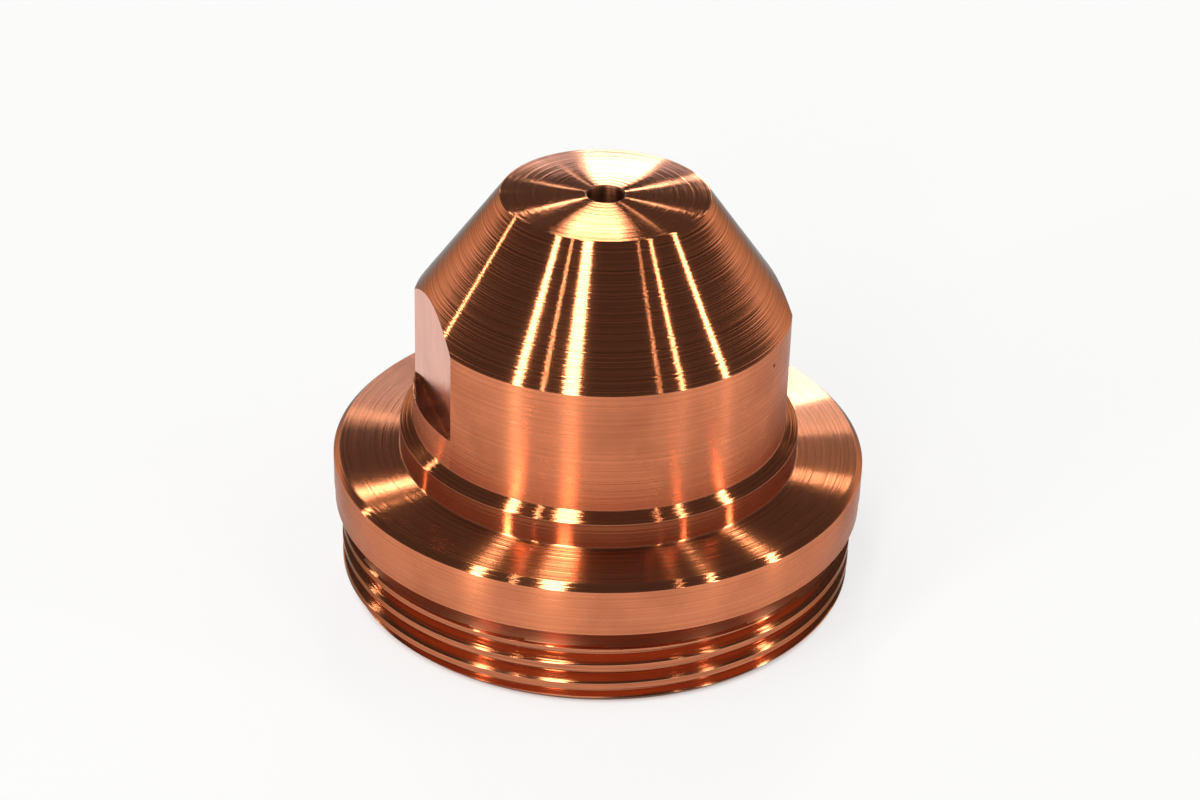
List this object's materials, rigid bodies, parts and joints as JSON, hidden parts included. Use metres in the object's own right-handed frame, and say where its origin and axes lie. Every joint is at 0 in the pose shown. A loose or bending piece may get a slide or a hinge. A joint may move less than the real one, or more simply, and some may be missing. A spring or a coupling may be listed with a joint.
{
  "type": "plasma torch nozzle",
  "caption": "Turned copper nozzle with a conical tip and small orifice, two opposite wrench flats, a collar and flange, and an external thread round a hollow rear end.",
  "frame": {"origin": "on the axis, in the plane of the threaded rear end face that the nozzle stands on", "axes": "+Z along the axis, from the threaded end to the orifice; the two wrench flats face -X and +X"},
  "size_m": [0.0318, 0.0318, 0.0248],
  "materials": {
    "copper": null
  },
  "bodies": {
    "root": {"nozzle": "copper"}
  },
  "joints": []
}
